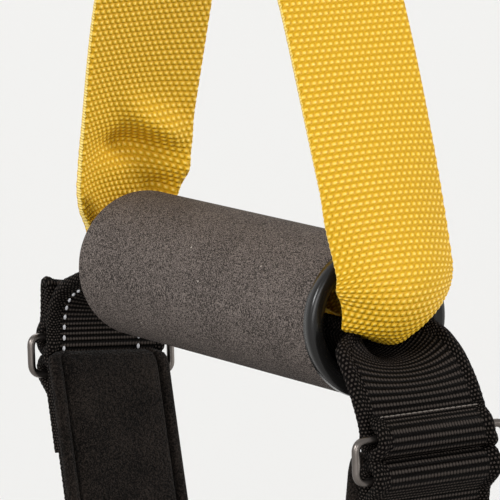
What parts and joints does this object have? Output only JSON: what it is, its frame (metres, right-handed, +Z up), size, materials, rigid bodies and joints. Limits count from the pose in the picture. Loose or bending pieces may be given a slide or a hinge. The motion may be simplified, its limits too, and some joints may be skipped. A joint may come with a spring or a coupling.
{
  "type": "suspension trainer",
  "caption": "Hanging suspension trainer strap: snap hook, webbing with a cam buckle, triangular webbing handle with a spinning foam grip, and a padded foot cradle.",
  "frame": {"origin": "top inner seat of the carabiner, where it hangs on an anchor", "axes": "+Z up along the hanging strap, +X along the grip, +Y across the webbing"},
  "size_m": [0.1871, 0.0599, 0.8105],
  "materials": {
    "yellow_webbing": "tightly woven nylon webbing, yellow",
    "black_webbing": "cross-ribbed nylon webbing, black",
    "grip_foam": "fine closed-cell foam, warm dark grey",
    "black_plastic": "moulded nylon, satin black",
    "dark_steel": "black coated steel",
    "plated_steel": "plated pins and springs",
    "pad_felt": "brushed felt, brown black"
  },
  "bodies": {
    "carabiner": {"carabiner_body": "dark_steel", "gate_pin": "plated_steel"},
    "gate": {"carabiner_gate": "dark_steel"},
    "upper": {"anchor_loop": "black_webbing", "upper_strap": "black_webbing", "buckle_frame": "dark_steel", "cam_pin": "plated_steel", "cam_spring": "plated_steel"},
    "cam": {"cam_lever": "dark_steel"},
    "lower": {"lower_strap": "yellow_webbing", "adjuster_tab": "black_webbing", "junction_patch": "black_webbing", "handle_webbing": "yellow_webbing"},
    "grip": {"grip_foam": "grip_foam", "grip_tube": "black_plastic", "end_ring_near": "black_plastic", "end_ring_far": "black_plastic"},
    "cradle": {"cradle_webbing": "black_webbing", "cradle_ring_near": "dark_steel", "cradle_ring_far": "dark_steel", "pad_strap": "black_webbing", "cradle_pad": "pad_felt"}
  },
  "joints": [
    {"name": "gate_open", "type": "hinge", "parent": "carabiner", "child": "gate", "pos_m": [0, 0.025, -0.067], "axis": [1, 0, 0], "range_deg": [0, 25], "stiffness_Nm_per_rad": 0.05, "springref_deg": -20.05},
    {"name": "strap_swing", "type": "hinge", "parent": "carabiner", "child": "upper", "pos_m": [0, 0, -0.085], "axis": [0, 1, 0], "range_deg": [-60, 60]},
    {"name": "cam_release", "type": "hinge", "parent": "upper", "child": "cam", "pos_m": [0.009, 0, -0.39029], "axis": [0, 1, 0], "range_deg": [0, 30], "stiffness_Nm_per_rad": 0.05, "springref_deg": -20.05},
    {"name": "length_adjust", "type": "slide", "parent": "upper", "child": "lower", "axis": [0, 0, -1], "range_m": [0, 0.14]},
    {"name": "grip_spin", "type": "hinge", "parent": "lower", "child": "grip", "pos_m": [0, 0, -0.65969], "axis": [1, 0, 0], "continuous": true},
    {"name": "cradle_swing", "type": "hinge", "parent": "lower", "child": "cradle", "pos_m": [0, 0, -0.65969], "axis": [1, 0, 0], "range_deg": [-15, 15]}
  ]
}
